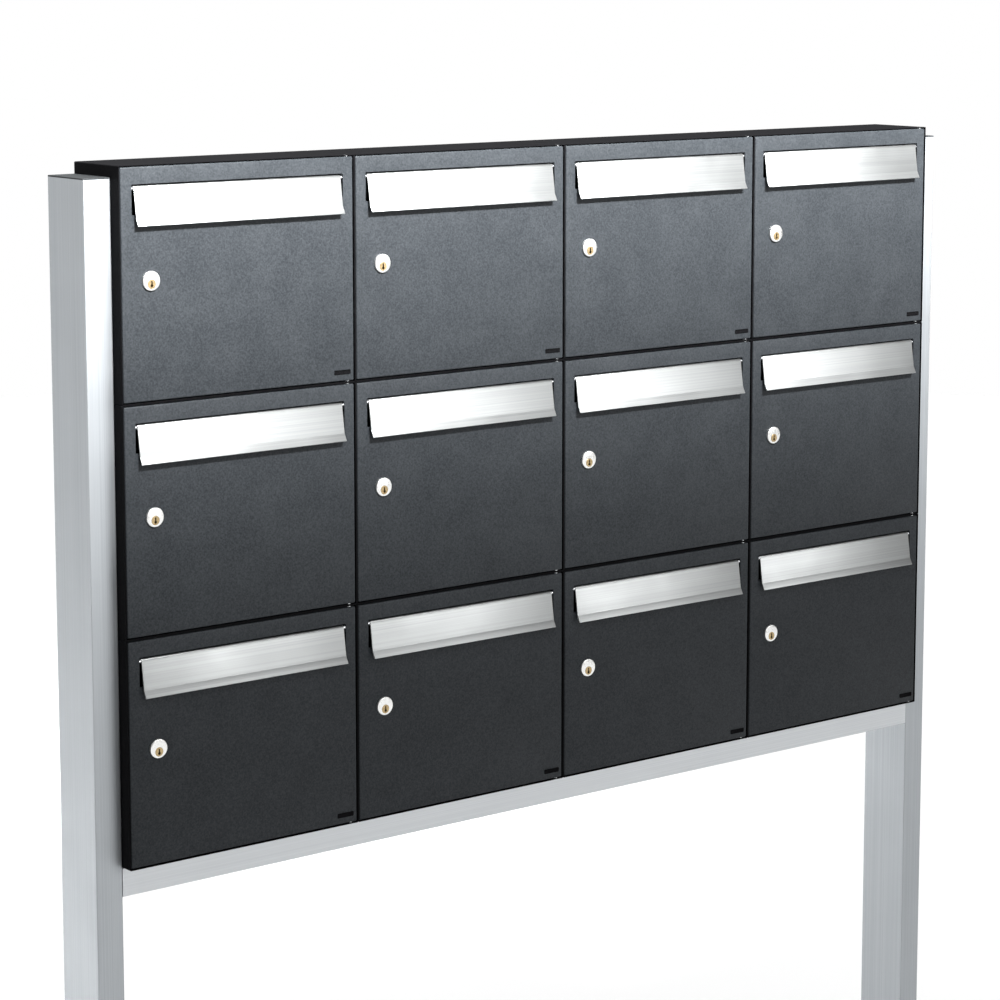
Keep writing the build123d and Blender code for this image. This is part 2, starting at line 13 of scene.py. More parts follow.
# %% Load the jointed model
import json
import math

import bmesh
import bpy
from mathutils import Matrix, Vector


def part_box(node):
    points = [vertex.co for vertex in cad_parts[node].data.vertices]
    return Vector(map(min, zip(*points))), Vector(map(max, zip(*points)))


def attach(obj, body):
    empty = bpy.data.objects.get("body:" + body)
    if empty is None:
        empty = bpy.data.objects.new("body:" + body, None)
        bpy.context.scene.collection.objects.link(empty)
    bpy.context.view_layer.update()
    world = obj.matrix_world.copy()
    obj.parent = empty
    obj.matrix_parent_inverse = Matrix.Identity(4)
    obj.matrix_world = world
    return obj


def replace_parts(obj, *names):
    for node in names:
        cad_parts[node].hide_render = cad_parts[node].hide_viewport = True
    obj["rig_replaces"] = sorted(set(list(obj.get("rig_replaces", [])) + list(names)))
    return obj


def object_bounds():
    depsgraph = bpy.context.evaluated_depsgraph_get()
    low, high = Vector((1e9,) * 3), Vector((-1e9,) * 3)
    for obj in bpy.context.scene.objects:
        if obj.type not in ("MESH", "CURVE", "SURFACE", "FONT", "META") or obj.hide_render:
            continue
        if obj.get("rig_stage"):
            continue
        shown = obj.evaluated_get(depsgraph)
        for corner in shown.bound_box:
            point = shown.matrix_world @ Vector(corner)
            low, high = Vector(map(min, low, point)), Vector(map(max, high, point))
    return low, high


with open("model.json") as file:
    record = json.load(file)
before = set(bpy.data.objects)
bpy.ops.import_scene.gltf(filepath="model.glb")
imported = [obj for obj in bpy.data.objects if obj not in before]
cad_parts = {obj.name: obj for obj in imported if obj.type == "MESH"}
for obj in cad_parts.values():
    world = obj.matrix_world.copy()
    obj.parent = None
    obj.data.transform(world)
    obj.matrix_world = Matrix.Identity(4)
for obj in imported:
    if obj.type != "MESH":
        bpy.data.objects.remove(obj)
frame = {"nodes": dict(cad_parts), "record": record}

frame_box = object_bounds()
print("box of the frame:", [[round(value, 4) for value in corner] for corner in frame_box])

# %% [markdown]
# Sheet metal is drawn in millimetres, and Blender counts in metres, so one value turns
# one into the other. The top left box is the one that gets modelled. Its places are
# measured from the middle of its door's lower edge, on the face of the door: x to the
# right, y backwards into the box and z up. Everything else about it is read from the
# frame.

# %% Places in the first box
MM = 0.001
COLUMNS = 4
ROWS = 3
TAGS = [f"r{row}c{column}" for row in range(1, ROWS + 1) for column in range(1, COLUMNS + 1)]

door_low, door_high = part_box("door_r1c1")
home = Vector(((door_low.x + door_high.x) / 2, door_low.y, door_low.z))


def at(x, y, z):
    """A place in the first box, from millimetres to the frame's metres."""
    return home + Vector((x, y, z)) * MM


def box_mm(node):
    """A node's lowest and highest corner in the first box's millimetres."""
    return [(corner - home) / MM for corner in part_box(node)]


door_width, door_flange, door_height = (door_high - door_low) / MM
cluster_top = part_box("casings_c1")[1].z
print(f"door {door_width:.1f} x {door_height:.1f} mm, {door_flange:.1f} mm deep")

# %% [markdown]
# ## The camera
#
# A product picture of a wide, flat object is usually taken from the side, so that the
# depth shows, with a long lens, so that it hardly tapers. This camera stands 4.3 m away,
# well to the left, a hand above the top of the boxes, and looks slightly down. A little
# lens shift moves the object up in the frame without tilting the camera any further.

# %% Camera
LENS = 108.1
LENS_SHIFT = -0.12
CAMERA_LEFT = 2.740
CAMERA_IN_FRONT = 3.303
CAMERA_ABOVE = 0.255
LOOK_DOWN = 7.89
LOOK_RIGHT = 38.44

camera_data = bpy.data.cameras.new("camera")
camera_data.sensor_width = 36.0
camera_data.lens = LENS
camera_data.shift_y = LENS_SHIFT
camera = bpy.data.objects.new("camera", camera_data)
camera.location = (-CAMERA_LEFT, door_low.y - CAMERA_IN_FRONT, cluster_top + CAMERA_ABOVE)
camera.rotation_euler = (math.radians(90 - LOOK_DOWN), 0, math.radians(-LOOK_RIGHT))
bpy.context.scene.collection.objects.link(camera)
bpy.context.scene.camera = camera
print("camera", tuple(round(value, 3) for value in camera.location))

# %% [markdown]
# ## Colours and nodes
#
# Colours are written as the hex values that a paint card or a screen shows. Blender
# works with linear light, so one function turns the one into the other. Materials are
# built from nodes, and one more function adds a node with its settings and its links,
# so that each finish below reads as a short list of what it is made of.

# %% Helpers for colours and nodes
def linear(hex_colour):
    """An sRGB hex value such as #34383b as linear red, green, blue and alpha."""
    values = [int(hex_colour[place:place + 2], 16) / 255 for place in (1, 3, 5)]
    straight = [v / 12.92 if v <= 0.04045 else ((v + 0.055) / 1.055) ** 2.4 for v in values]
    return (*straight, 1.0)


def add_node(tree, kind, settings=None, links=None):
    """Adds a node, sets its own settings and its sockets, and links its inputs."""
    node = tree.nodes.new(kind)
    for name, value in (settings or {}).items():
        if name in node.bl_rna.properties:
            setattr(node, name, value)
        else:
            node.inputs[name].default_value = value
    for name, source in (links or {}).items():
        tree.links.new(source, node.inputs[name])
    return node


print("anthracite #34383b is linear", [round(v, 4) for v in linear("#34383b")])

# %% [markdown]
# ## The floor and the light
#
# The posts stand on a plain, pale, matt floor. It is marked as part of the stage, so it
# never counts as part of the object. Dark paint shows little of its own colour and
# mostly what it mirrors, so the light is made of parts with one job each. A white
# surround, brightest overhead towards the back left, lights the floor and the posts. A
# long narrow panel in front of the boxes, above their heads, makes the top row paler
# than the bottom row. It stands parallel to the doors, so that each row is lit evenly. A
# weak panel at the front right is what the flaps mirror.

# %% Floor
FLOOR_RADIUS = 9.0

floor_paint = bpy.data.materials.new("matt_white_studio_floor")
floor_paint.use_nodes = True
floor_shader = floor_paint.node_tree.nodes["Principled BSDF"]
floor_shader.inputs["Base Color"].default_value = linear("#fbfbfb")
floor_shader.inputs["Roughness"].default_value = 0.95
floor_shader.inputs["Specular IOR Level"].default_value = 0.0

bpy.ops.mesh.primitive_circle_add(vertices=96, radius=FLOOR_RADIUS, fill_type="NGON")
floor = bpy.context.object
floor.name = "floor"
floor.data.materials.append(floor_paint)
floor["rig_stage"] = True
print("floor radius", FLOOR_RADIUS, "m")

# %% Surround
BRIGHTEST_SIDE = (-0.40, 0.30, 0.87)
DIM = 0.11
BRIGHT = 1.8
DIM_BELOW = 0.2
BRIGHT_ABOVE = 0.9

world = bpy.data.worlds.new("white_surround")
world.use_nodes = True
bpy.context.scene.world = world
surround = world.node_tree
direction = add_node(surround, "ShaderNodeTexCoord").outputs["Object"]
towards = add_node(surround, "ShaderNodeVectorMath", {"operation": "DOT_PRODUCT"}, {0: direction})
towards.inputs[1].default_value = BRIGHTEST_SIDE
span = {"From Min": DIM_BELOW, "From Max": BRIGHT_ABOVE, "To Min": DIM, "To Max": BRIGHT}
glow = add_node(surround, "ShaderNodeMapRange", span, {"Value": towards.outputs["Value"]})
# What the camera sees directly behind the object is plain white.
seen = add_node(surround, "ShaderNodeLightPath").outputs["Is Camera Ray"]
strength = add_node(
    surround, "ShaderNodeMix", {"data_type": "FLOAT"}, {"Factor": seen, "A": glow.outputs["Result"]},
)
strength.inputs["B"].default_value = 1.0
backdrop = surround.nodes["Background"]
surround.links.new(strength.outputs["Result"], backdrop.inputs["Strength"])
backdrop.inputs["Color"].default_value = linear("#ffffff")
print("surround from", DIM, "to", BRIGHT)

# %% Soft panels
def soft_panel(name, place, aim, width, height, power, spread):
    """A rectangular soft light that faces the place it is aimed at; spread in degrees."""
    data = bpy.data.lights.new(name, "AREA")
    data.shape = "RECTANGLE"
    data.size = width
    data.size_y = height
    data.energy = power
    data.spread = math.radians(spread)
    panel = bpy.data.objects.new(name, data)
    panel.location = place
    panel.rotation_euler = (Vector(aim) - Vector(place)).to_track_quat("-Z", "Y").to_euler()
    bpy.context.scene.collection.objects.link(panel)
    print(name, "at", place, "power", power)


soft_panel(
    "side_panel", place=(2.2, -3.9, 1.95), aim=(0.0, -0.05, 1.45),
    width=3.4, height=1.2, power=8, spread=50,
)
soft_panel(
    "key_panel", place=(-0.3, -2.0, 3.1), aim=(-0.3, -0.06, 1.69),
    width=3.0, height=0.25, power=52, spread=24,
)
bpy.context.scene.view_settings.view_transform = "Standard"

# %% [markdown]
# ## Finishes
#
# Each finish starts from what the real surface is and how it was made. They share one
# beginning: a principled shader with its colour, its metalness and its roughness, and
# the object's own coordinates. The pieces all stand at the origin with their place in
# their mesh, so these coordinates are the frame's metres, and a pattern that is 2 mm
# wide has a scale of 1 / 0.002.

# %% Start of every finish
def start_finish(name, metallic, roughness):
    """A new material; gives it, its tree, its shader and the object coordinates."""
    material = bpy.data.materials.new(name)
    material.use_nodes = True
    tree = material.node_tree
    shader = tree.nodes["Principled BSDF"]
    shader.inputs["Metallic"].default_value = metallic
    shader.inputs["Roughness"].default_value = roughness
    place = add_node(tree, "ShaderNodeTexCoord").outputs["Object"]
    return material, tree, shader, place


def stretched(tree, place, x, y, z):
    """Coordinates scaled by one over a pattern's length in millimetres along x, y and z."""
    scale = [1 / (length * MM) for length in (x, y, z)]
    mapping = add_node(tree, "ShaderNodeMapping", {"Scale": scale}, {"Vector": place})
    return mapping.outputs["Vector"]


def grain(tree, vector, detail=2.0, roughness=0.5):
    """A soft random pattern, one unit wide."""
    settings = {"Scale": 1.0, "Detail": detail, "Roughness": roughness}
    noise = add_node(tree, "ShaderNodeTexNoise", settings, {"Vector": vector})
    return noise.outputs["Fac"]


# A soft noise hardly ever goes below or above these two values.
NOISE_LOW = 0.3
NOISE_HIGH = 0.7


def between(tree, factor, low, high):
    """Turns a pattern's middle range into values from low to high."""
    settings = {"From Min": NOISE_LOW, "From Max": NOISE_HIGH, "To Min": low, "To Max": high}
    return add_node(tree, "ShaderNodeMapRange", settings, {"Value": factor}).outputs["Result"]


def two_tone(tree, factor, low, high):
    """Turns a pattern's middle range into a blend of two hex colours."""
    ramp = add_node(tree, "ShaderNodeValToRGB", {}, {"Fac": factor})
    for stop, position, colour in zip(ramp.color_ramp.elements, (NOISE_LOW, NOISE_HIGH), (low, high)):
        stop.position = position
        stop.color = linear(colour)
    return ramp.outputs["Color"]


def relief(tree, shader, height, depth_mm, strength=1.0):
    """Makes a pattern stand out by depth_mm."""
    settings = {"Distance": depth_mm * MM, "Strength": strength}
    bump = add_node(tree, "ShaderNodeBump", settings, {"Height": height})
    tree.links.new(bump.outputs["Normal"], shader.inputs["Normal"])


print("finishes start from the object's own coordinates, in metres")

# %% [markdown]
# ### Powder coat
#
# The doors and casings are steel, sprayed with polyester powder and baked. The
# fine-texture kind has a grit of about half a millimetre that breaks up reflections into
# a dull, even sheen. A grit that fine is smaller than one dot of the finished picture,
# so it is drawn about four times as coarse. A second, wider pattern gives the slight
# clouding that a sprayed coat has.

# %% Powder coat
POWDER_GRIT = 2.2
POWDER_CLOUD = 55.0
CLOUD_SHARE = 0.2


def powder_coat(name, low, high, roughness, gloss, grit_depth):
    """Fine-texture powder coat between two hex colours; gloss is the specular level."""
    material, tree, shader, place = start_finish(name, 0.0, roughness)
    grit = grain(tree, stretched(tree, place, POWDER_GRIT, POWDER_GRIT, POWDER_GRIT), 3.0)
    cloud = grain(tree, stretched(tree, place, POWDER_CLOUD, POWDER_CLOUD, POWDER_CLOUD))
    mixed = add_node(tree, "ShaderNodeMix", {"data_type": "FLOAT"}, {"A": grit, "B": cloud})
    mixed.inputs["Factor"].default_value = CLOUD_SHARE
    tree.links.new(two_tone(tree, mixed.outputs["Result"], low, high), shader.inputs["Base Color"])
    sheen = between(tree, cloud, roughness - 0.03, roughness + 0.03)
    tree.links.new(sheen, shader.inputs["Roughness"])
    shader.inputs["Specular IOR Level"].default_value = gloss
    relief(tree, shader, grit, grit_depth)
    return material


FINISHES = {
    "door_paint": powder_coat("anthracite_powder_coat", "#1d2023", "#323538", 0.42, 0.13, 0.07),
    "casing_paint": powder_coat("black_powder_coat", "#08080a", "#121213", 0.5, 0.015, 0.05),
}
print("powder coats:", [material.name for material in FINISHES.values()])

# %% [markdown]
# ### Anodised aluminium
#
# Flaps, posts and rail are pressed through a die and anodised. The die leaves faint
# lines along the length of each profile, and the anodic film makes the metal satin and
# slightly grey. The lines are a few tenths of a millimetre apart. They are drawn about
# 1.5 mm apart and very long, so that they still read as lines.

# %% Anodised aluminium
DIE_LINE = 1.5
DIE_LENGTH = 900.0
FILM_CLOUD = 90.0


def anodised(name, low, high, roughness, along, line_depth=0.012):
    """Satin anodised profile with die lines along x, y or z."""
    material, tree, shader, place = start_finish(name, 1.0, roughness)
    lengths = [DIE_LENGTH if axis == along else DIE_LINE for axis in "xyz"]
    lines = grain(tree, stretched(tree, place, *lengths), 2.0)
    cloud = grain(tree, stretched(tree, place, FILM_CLOUD, FILM_CLOUD, FILM_CLOUD))
    tree.links.new(two_tone(tree, lines, low, high), shader.inputs["Base Color"])
    satin = between(tree, cloud, roughness - 0.03, roughness + 0.03)
    tree.links.new(satin, shader.inputs["Roughness"])
    relief(tree, shader, lines, line_depth, 0.6)
    return material


FINISHES["flap_aluminium"] = anodised("satin_anodised_flap", "#9c9e9e", "#a7a9a9", 0.42, "x")
FINISHES["post_aluminium"] = anodised("satin_anodised_post", "#a8acb0", "#b4b8bb", 0.5, "z")
FINISHES["connector_aluminium"] = anodised("mill_finish_aluminium", "#b4b6b7", "#c3c5c6", 0.45, "x")
rail_finish = anodised("satin_anodised_rail", "#c3c6c9", "#cdd0d2", 0.38, "x")
print("profiles:", [name for name in FINISHES if "aluminium" in name])

# %% [markdown]
# ### Lock, pins, screws and feet
#
# The lock's rosette and barrel are zinc, plated with nickel and tumbled satin. The plug
# is brushed brass. Pins, cams and screws are steel with a bright zinc plate, which looks
# slightly blue and faintly blotchy. The foot plates were dipped in molten zinc, which
# freezes in flat crystals about a centimetre across.

# %% Plated and brass parts
def plated(name, low, high, roughness, blotch):
    """Metal with a thin, slightly blotchy plate; blotch is a length in millimetres."""
    material, tree, shader, place = start_finish(name, 1.0, roughness)
    spots = grain(tree, stretched(tree, place, blotch, blotch, blotch), 3.0, 0.6)
    tree.links.new(two_tone(tree, spots, low, high), shader.inputs["Base Color"])
    tree.links.new(between(tree, spots, roughness - 0.05, roughness + 0.05), shader.inputs["Roughness"])
    relief(tree, shader, spots, 0.01, 0.5)
    return material


def dipped(name, low, high, roughness, crystal):
    """Hot-dip galvanised steel with flat crystals of the given size in millimetres."""
    material, tree, shader, place = start_finish(name, 1.0, roughness)
    cells = add_node(
        tree, "ShaderNodeTexVoronoi", {"Scale": 1.0},
        {"Vector": stretched(tree, place, crystal, crystal, crystal)},
    )
    shade = add_node(tree, "ShaderNodeSeparateColor", {}, {"Color": cells.outputs["Color"]})
    tree.links.new(two_tone(tree, shade.outputs["Red"], low, high), shader.inputs["Base Color"])
    dull = between(tree, shade.outputs["Green"], roughness - 0.08, roughness + 0.08)
    tree.links.new(dull, shader.inputs["Roughness"])
    relief(tree, shader, cells.outputs["Distance"], 0.05, 0.4)
    return material


FINISHES["lock_nickel"] = plated("satin_nickel_plate", "#efefec", "#f8f8f6", 0.3, 4.0)
FINISHES["lock_brass"] = plated("brushed_brass", "#a8916a", "#c4ae86", 0.32, 1.5)
FINISHES["pin_steel"] = plated("bright_zinc_pin", "#d6d9dc", "#e6e8ea", 0.25, 3.0)
FINISHES["zinc_steel"] = plated("bright_zinc_plate", "#c6cacf", "#d9dce0", 0.3, 5.0)
FINISHES["foot_steel"] = dipped("hot_dip_galvanised_steel", "#9da1a4", "#b9bcbe", 0.45, 11.0)
print("metal parts:", FINISHES["lock_brass"].name, FINISHES["foot_steel"].name)

# %% [markdown]
# ### Moulded plastic
#
# The post caps are moulded from grey polypropylene in a spark-eroded mould, whose fine
# grain hides scratches. The grain is drawn at 1 mm, about twice its real size.

# %% Moulded plastic
PLASTIC_GRAIN = 1.0
PLASTIC_GLOSS = 0.15


def moulded(name, low, high, roughness):
    """Grained injection-moulded plastic."""
    material, tree, shader, place = start_finish(name, 0.0, roughness)
    pores = grain(tree, stretched(tree, place, PLASTIC_GRAIN, PLASTIC_GRAIN, PLASTIC_GRAIN), 2.0, 0.6)
    tree.links.new(two_tone(tree, pores, low, high), shader.inputs["Base Color"])
    tree.links.new(between(tree, pores, roughness - 0.04, roughness + 0.04), shader.inputs["Roughness"])
    shader.inputs["Specular IOR Level"].default_value = PLASTIC_GLOSS
    relief(tree, shader, pores, 0.04, 0.6)
    return material


FINISHES["cap_plastic"] = moulded("grained_grey_polypropylene", "#1f2122", "#282a2b", 0.55)
print("finishes:", len(FINISHES) + 1)

# %% [markdown]
# The casings, posts, rail, caps, plates, pins and screws keep the shape they have in the
# frame. Each node of the frame says which finish it has, so a loop can hand them out.
# The rail lies on its side, so its die lines run the other way from the posts'.

# %% Finishes of the frame's nodes
finish_of_node = {part["node"]: part["material_slot"] for part in frame["record"]["subparts"]}
for name, node in frame["nodes"].items():
    finish = rail_finish if name == "support_rail" else FINISHES[finish_of_node[name]]
    for place in node.material_slots:
        place.material = finish
print("nodes with a finish:", len(frame["nodes"]))

# %% [markdown]
# ## The bench
#
# New pieces start as a simple shape and are worked in edit mode, as by hand. Operators
# act on whatever is selected, so a few helpers keep that tidy: one adds a start shape
# and fixes its place in its mesh, one picks faces, edges or points by where they are or
# which way they face, and one cuts a piece with others, as a drill or a punch would.

# %% Start shapes
def settle(name):
    """Names the new shape and moves its place, turn and size into its mesh."""
    piece = bpy.context.object
    piece.name = name
    piece.data.name = name
    bpy.ops.object.transform_apply(location=True, rotation=True, scale=True)
    return piece


def add_block(name, low, high):
    """A block between two corners, in the first box's millimetres."""
    bpy.ops.object.select_all(action="DESELECT")
    middle = [(a + b) / 2 for a, b in zip(low, high)]
    size = [(b - a) * MM for a, b in zip(low, high)]
    bpy.ops.mesh.primitive_cube_add(size=1, location=at(*middle), scale=size)
    return settle(name)


def add_round(name, middle, radius, length, along, sides=48, ends="NGON"):
    """A round or many-sided bar with its axis along x, y or z."""
    bpy.ops.object.select_all(action="DESELECT")
    turn = {"x": (0, math.pi / 2, 0), "y": (math.pi / 2, 0, 0), "z": (0, 0, 0)}[along]
    bpy.ops.mesh.primitive_cylinder_add(
        vertices=sides, radius=radius * MM, depth=length * MM, end_fill_type=ends,
        location=at(*middle), rotation=turn,
    )
    return settle(name)


NEAR = 0.1


def pick(kind, test):
    """
    In edit mode, selects the verts, edges or faces that pass the test. A test compares
    places in millimetres, and counts what lies within NEAR as the same place.
    """
    mode = {"verts": "VERT", "edges": "EDGE", "faces": "FACE"}[kind]
    bpy.ops.mesh.select_mode(type=mode)
    bpy.ops.mesh.select_all(action="DESELECT")
    data = bpy.context.object.data
    mesh = bmesh.from_edit_mesh(data)
    for part in getattr(mesh, kind):
        if kind == "faces":
            middle = part.calc_center_median()
        elif kind == "edges":
            middle = (part.verts[0].co + part.verts[1].co) / 2
        else:
            middle = part.co
        if test((middle - home) / MM, part):
            part.select_set(True)
    mesh.select_flush_mode()
    bmesh.update_edit_mesh(data)


print("bench ready, first box at", [round(value, 4) for value in home])


# %% Cutting, joining and finishing
def apply_modifier(piece, kind, **settings):
    """Adds one modifier, sets it up and applies it."""
    bpy.context.view_layer.objects.active = piece
    modifier = piece.modifiers.new(kind.lower(), kind)
    for name, value in settings.items():
        setattr(modifier, name, value)
    bpy.ops.object.modifier_apply(modifier=modifier.name)


def cut(piece, *tools):
    """Cuts the tools' shapes out of the piece and puts the tools away."""
    for tool in tools:
        apply_modifier(piece, "BOOLEAN", operation="DIFFERENCE", solver="EXACT", object=tool)
        bpy.data.objects.remove(tool)
    return piece


def weld(piece, *others):
    """Makes the piece and the others one solid."""
    for other in others:
        apply_modifier(piece, "BOOLEAN", operation="UNION", solver="EXACT", object=other)
        bpy.data.objects.remove(other)
    return piece


def soften(piece, width, steps=2):
    """Rounds every sharp edge by a width in millimetres."""
    apply_modifier(
        piece, "BEVEL", width=width * MM, segments=steps, limit_method="ANGLE",
        angle_limit=math.radians(35),
    )
    return piece


def complete(piece, finish, body, replaced=()):
    """Closes a piece and gives it its finish, its smooth shading and its body."""
    bpy.ops.object.select_all(action="DESELECT")
    piece.select_set(True)
    bpy.context.view_layer.objects.active = piece
    bpy.ops.object.mode_set(mode="EDIT")
    bpy.ops.mesh.select_mode(type="VERT")
    bpy.ops.mesh.select_all(action="SELECT")
    # A cut can leave slivers, so points that all but touch become one and tiny holes close.
    bpy.ops.mesh.remove_doubles(threshold=0.01 * MM)
    bpy.ops.mesh.fill_holes(sides=6)
    bpy.ops.object.mode_set(mode="OBJECT")
    bpy.ops.object.shade_smooth_by_angle(angle=math.radians(30))
    piece.data.materials.clear()
    piece.data.materials.append(FINISHES[finish])
    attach(piece, body)
    if replaced:
        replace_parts(piece, *replaced)
    print(piece.name, len(piece.data.polygons), "faces")
    return piece


# %% [markdown]
# ### Turned pieces
#
# Rods, rosettes, plugs and screws are round, and a lathe makes them from an outline.
# Here the outline is a chain of points, each with its distance along the axis and its
# radius, and a spin takes it once round. Points on the axis become the closed ends.

# %% The lathe
def turn_piece(name, axis_place, along, outline, steps=48):
    """Spins an outline of (distance, radius) points about an axis along x, y or z."""
    axis = Vector([1.0 if letter == along else 0.0 for letter in "xyz"])
    outward = Vector((0, 0, 1)) if along != "z" else Vector((1, 0, 0))
    points = [(axis * distance + outward * radius) * MM for distance, radius in outline]
    centre = at(*axis_place)
    bpy.ops.object.select_all(action="DESELECT")
    bpy.ops.mesh.primitive_plane_add(size=MM, location=centre + points[0])
    piece = settle(name)
    bpy.ops.object.mode_set(mode="EDIT")
    bpy.ops.mesh.select_mode(type="VERT")
    bpy.ops.mesh.select_all(action="SELECT")
    bpy.ops.mesh.merge(type="CENTER")
    for before, after in zip(points, points[1:]):
        bpy.ops.mesh.extrude_region_move(TRANSFORM_OT_translate={"value": after - before})
    bpy.ops.mesh.select_all(action="SELECT")
    bpy.ops.mesh.spin(steps=steps, angle=2 * math.pi, center=centre, axis=axis)
    bpy.ops.mesh.select_all(action="SELECT")
    bpy.ops.mesh.remove_doubles(threshold=0.001 * MM)
    bpy.ops.mesh.normals_make_consistent(inside=False)
    bpy.ops.object.mode_set(mode="OBJECT")
    return piece


print("lathe ready")

# %% [markdown]
# ## The door
#
# The door is a shallow tray folded from 1.2 mm steel. A block gets its folds rounded,
# its back is taken away, and Solidify gives the shell its sheet thickness. Then the
# press cuts the mail slot, the lock's hole with its two flats, and the holes for the
# hinge pins. A folded lip keeps fingers off the slot's lower edge, and two ears beside
# the slot carry the flap's rod.

# %% Sizes of the door, its slot and its lock
SHEET = 1.2
FOLD = 2.0
IN_SHEET = 0.4
SLOT_HALF = 166.0
SLOT_CORNER = 1.5
BEAD = 3.2
BEAD_GAP = 2.0
SLOT_HEIGHT = 40.0
RUNNING = 0.05
ROD = 1.5

flap_high = box_mm("flap_r1c1")[1]
rod_y = BEAD
rod_z = flap_high.z - BEAD
slot_top = flap_high.z + BEAD_GAP
slot_bottom = slot_top - SLOT_HEIGHT

ROSETTE = 13.0
BARREL = 11.0
BARREL_FLAT = 10.0
PLUG = 6.2
CAM_HALF = 7.5
PIN = 2.0
HINGE_X = 174.0
HINGE_Y = 5.5

body_low, body_high = box_mm("lock_body_r1c1")
core_low, core_high = box_mm("lock_core_r1c1")
lock_x = (core_low.x + core_high.x) / 2
lock_z = (body_low.z + body_high.z) / 2
plug_z = core_high.z - CAM_HALF
print(f"rod at z {rod_z:.1f}, slot {slot_bottom:.1f} to {slot_top:.1f}, lock at {lock_x:.1f}, {lock_z:.1f}")

# %% Door tray
half = door_width / 2
door = add_block("door_sheet_r1c1", (-half, 0, 0), (half, door_flange, door_height))
bpy.ops.object.mode_set(mode="EDIT")
pick("faces", lambda place, face: face.normal.y > 0.9)
bpy.ops.mesh.delete(type="FACE")
pick("edges", lambda place, edge: place.y < door_flange - NEAR)
bpy.ops.mesh.bevel(offset=FOLD * MM, segments=4, affect="EDGES")
bpy.ops.object.mode_set(mode="OBJECT")
apply_modifier(door, "SOLIDIFY", thickness=SHEET * MM, offset=-1, use_even_offset=True)
print("tray", len(door.data.polygons), "faces")

# %% Slot, lip and ears
slot_punch = add_block("slot_punch", (-SLOT_HALF, -5, slot_bottom), (SLOT_HALF, 5, slot_top))
bpy.ops.object.mode_set(mode="EDIT")
pick("edges", lambda place, edge: abs(place.y) < NEAR)
bpy.ops.mesh.bevel(offset=SLOT_CORNER * MM, segments=3, affect="EDGES")
bpy.ops.object.mode_set(mode="OBJECT")
cut(door, slot_punch)

LIP_DEPTH = 6.0
EAR_DEPTH = 9.0
EAR_HEIGHT = 13.0
EAR_CORNER = 3.0
lip_low = (-SLOT_HALF, IN_SHEET, slot_bottom - SHEET)
lip = add_block("lip", lip_low, (SLOT_HALF, LIP_DEPTH, slot_bottom))
ears = []
for side in (-1, 1):
    near, far = sorted((side * SLOT_HALF, side * (SLOT_HALF + SHEET)))
    ear_low = (near, IN_SHEET, rod_z - EAR_HEIGHT / 2)
    ear = add_block("ear", ear_low, (far, EAR_DEPTH, rod_z + EAR_HEIGHT / 2))
    bpy.ops.object.mode_set(mode="EDIT")
    pick("edges", lambda place, edge: place.y > EAR_DEPTH - NEAR and abs(place.z - rod_z) > NEAR)
    bpy.ops.mesh.bevel(offset=EAR_CORNER * MM, segments=4, affect="EDGES")
    bpy.ops.object.mode_set(mode="OBJECT")
    ears.append(ear)
weld(door, lip, *ears)
print("slot cut, lip and ears welded:", len(door.data.polygons), "faces")

# %% Holes in the door
LONG_DRILL = 340
LOCK_PLAY = 0.1
rod_drill = add_round("rod_drill", (0, rod_y, rod_z), ROD + RUNNING, LONG_DRILL, "x", 32)
lock_punch = add_round("lock_punch", (lock_x, 0, lock_z), BARREL + LOCK_PLAY, 8, "y", 64)
for side in (-1, 1):
    bpy.ops.object.mode_set(mode="EDIT")
    bpy.ops.mesh.select_all(action="SELECT")
    bpy.ops.mesh.bisect(
        plane_co=at(lock_x + side * (BARREL_FLAT + LOCK_PLAY), 0, lock_z), plane_no=(side, 0, 0),
        use_fill=True, clear_outer=True,
    )
    bpy.ops.object.mode_set(mode="OBJECT")
pin_drill = add_round("pin_drill", (HINGE_X, HINGE_Y, door_height / 2), PIN + RUNNING, 320, "z", 32)
cut(door, rod_drill, lock_punch, pin_drill)
complete(door, "door_paint", "door_r1c1", ["door_r1c1"])

# %% [markdown]
# ## The mail flap
#
# The flap is a pressed aluminium profile: a bead along its top that holds the rod, a
# flat face that leans out a little so that rain drips clear of the slot, and a lip that
# fingers catch. It starts as a flat strip along the face. Its lower edge is pulled out
# into the lip, the bend between them is rounded, and Solidify gives it its thickness.
# The bead is a tube welded along the top, and two pads on the back rest on the door.

# %% Flap sheet
FLAP_HALF = 162.5
FLAP_FACE = 41.5
FLAP_LEAN = 5.3
LIP_DROP = 10.0
LIP_OUT = 5.1
LIP_BEND = 0.7
FLAP_SHEET = 2.0
FLAP_EDGE = 0.45

kink_z = rod_z + BEAD - FLAP_FACE
face_run = math.hypot(FLAP_LEAN, rod_z - kink_z)
face_tilt = math.atan2(FLAP_LEAN, rod_z - kink_z)
bpy.ops.object.select_all(action="DESELECT")
bpy.ops.mesh.primitive_plane_add(
    size=1, location=at(0, -FLAP_LEAN / 2, (rod_z + kink_z) / 2),
    rotation=(math.pi / 2 - face_tilt, 0, 0),
)
bpy.context.object.scale = (2 * FLAP_HALF * MM, face_run * MM, 1)
flap = settle("flap_sheet_r1c1")
bpy.ops.object.mode_set(mode="EDIT")
pick("edges", lambda place, edge: place.z < kink_z + NEAR)
bpy.ops.mesh.extrude_region_move(
    TRANSFORM_OT_translate={"value": Vector((0, -LIP_OUT, -LIP_DROP)) * MM}
)
pick("edges", lambda place, edge: abs(place.z - kink_z) < NEAR)
bpy.ops.mesh.bevel(offset=LIP_BEND * MM, segments=3, affect="EDGES")
bpy.ops.object.mode_set(mode="OBJECT")
if flap.data.polygons[0].normal.y > 0:
    flap.data.flip_normals()
apply_modifier(flap, "SOLIDIFY", thickness=FLAP_SHEET * MM, offset=-1, use_even_offset=True)
